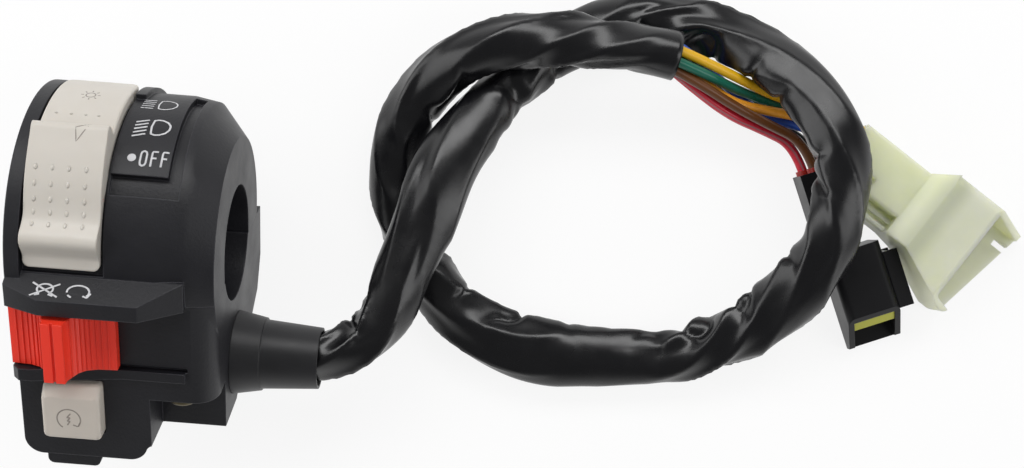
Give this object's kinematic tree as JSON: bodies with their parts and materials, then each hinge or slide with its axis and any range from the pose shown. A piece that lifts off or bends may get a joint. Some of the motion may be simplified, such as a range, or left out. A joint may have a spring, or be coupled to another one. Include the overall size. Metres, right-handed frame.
{
  "type": "handlebar switch cluster",
  "caption": "Clamp-on handlebar switch housing with a light lever, a stop slider and a start button, and a looped cable harness with two connectors.",
  "frame": {"origin": "on the handlebar's axis, half way along the housing", "axes": "+X along the handlebar towards the cable boot, +Y up the switch face towards the light lever, +Z out of the switch face"},
  "size_m": [0.1928, 0.1015, 0.0524],
  "materials": {
    "housing_plastic": "fine moulded texture",
    "lever_plastic": "satin",
    "slider_plastic": "satin",
    "button_plastic": "satin",
    "inner_plastic": "satin acetal",
    "contact_board": "phenolic board",
    "contact_brass": "bright",
    "spring_steel": "bright",
    "screw_steel": "yellow zinc",
    "boot_rubber": "matte",
    "tie_nylon": "natural",
    "sleeve_vinyl": "glossy, wrinkled",
    "wire_yellow": "extruded insulation",
    "wire_orange": "extruded insulation with a red stripe",
    "wire_blue": "extruded insulation",
    "wire_green": "extruded insulation",
    "wire_light_green": "extruded insulation",
    "wire_red": "extruded insulation with a grey stripe",
    "wire_brown": "extruded insulation",
    "wire_black": "extruded insulation",
    "connector_nylon": "natural, translucent",
    "connector_black": "moulded",
    "seal_yellow": "silicone",
    "seal_red": "silicone",
    "terminal_tin": "tinned"
  },
  "bodies": {
    "housing": {"upper_housing": "housing_plastic", "lower_housing": "housing_plastic", "light_contact_plate": "contact_board", "light_tracks": "contact_brass", "stop_contact_plate": "contact_board", "stop_pads": "contact_brass", "start_contact_plate": "contact_board", "start_contact_posts": "contact_brass", "start_return_spring": "spring_steel", "clamp_screws": "screw_steel", "clamp_screw_inserts": "contact_brass", "cable_boot": "boot_rubber", "cable_tie": "tie_nylon", "harness_sleeve": "sleeve_vinyl", "large_connector": "connector_nylon", "large_connector_pins": "terminal_tin", "small_connector": "connector_black", "small_connector_seal": "seal_yellow", "small_connector_sockets": "terminal_tin", "wire_seals": "seal_red", "wire_yellow": "wire_yellow", "wire_orange": "wire_orange", "wire_blue": "wire_blue", "wire_green": "wire_green", "wire_light_green": "wire_light_green", "wire_red": "wire_red", "wire_brown": "wire_brown", "wire_black": "wire_black"},
    "lever": {"light_lever": "lever_plastic", "light_carrier": "inner_plastic", "light_bridge": "contact_brass", "light_detent_ball": "spring_steel", "light_detent_spring": "spring_steel"},
    "slider": {"stop_slider": "slider_plastic", "stop_carrier": "inner_plastic", "stop_bridge": "contact_brass", "stop_detent_ball": "spring_steel", "stop_detent_spring": "spring_steel"},
    "button": {"start_button": "button_plastic", "start_contact_bar": "contact_brass"}
  },
  "joints": [
    {"name": "light_lever", "type": "hinge", "parent": "housing", "child": "lever", "pos_m": [0, 0.00251, -0.0015], "axis": [-1, 0, 0], "range_deg": [0, 35]},
    {"name": "stop_slider", "type": "slide", "parent": "housing", "child": "slider", "axis": [1, 0, 0], "range_m": [0, 0.005]},
    {"name": "start_button", "type": "slide", "parent": "housing", "child": "button", "axis": [0, 0.4384, -0.8988], "range_m": [0, 0.0018], "stiffness_N_per_m": 500, "springref_m": -0.002, "deforming": ["start_return_spring"]}
  ]
}
